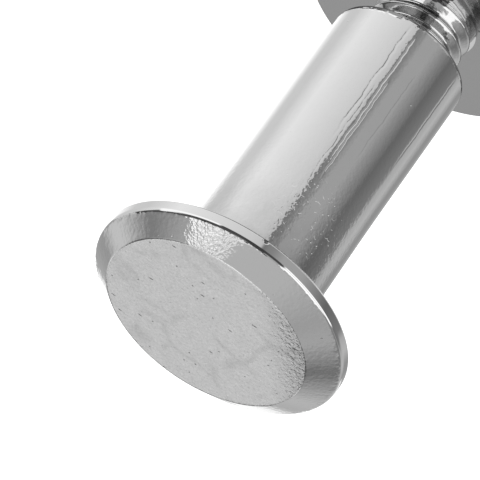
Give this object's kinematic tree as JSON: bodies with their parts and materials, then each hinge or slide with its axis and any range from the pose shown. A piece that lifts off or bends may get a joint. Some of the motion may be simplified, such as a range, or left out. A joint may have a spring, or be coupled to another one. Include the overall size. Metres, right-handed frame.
{
  "type": "binding barrel screw",
  "caption": "Small plated binding screw: a threaded barrel post with a bevelled disc head, drawn together by a cross-recess screw with a matching head.",
  "frame": {"origin": "centre of the flat of the screw's head, on which the fastener stands", "axes": "+Z along the common axis of barrel and screw, from the screw's head up to the barrel's head"},
  "size_m": [0.0094, 0.0094, 0.0163],
  "materials": {
    "plated_steel": "polished"
  },
  "bodies": {
    "screw_body": {"screw": "plated_steel"},
    "barrel_body": {"barrel": "plated_steel"}
  },
  "joints": [
    {"name": "barrel_slide", "type": "slide", "parent": "screw_body", "child": "barrel_body", "axis": [0, 0, 1], "range_m": [-0.00205, 0.02]}
  ]
}
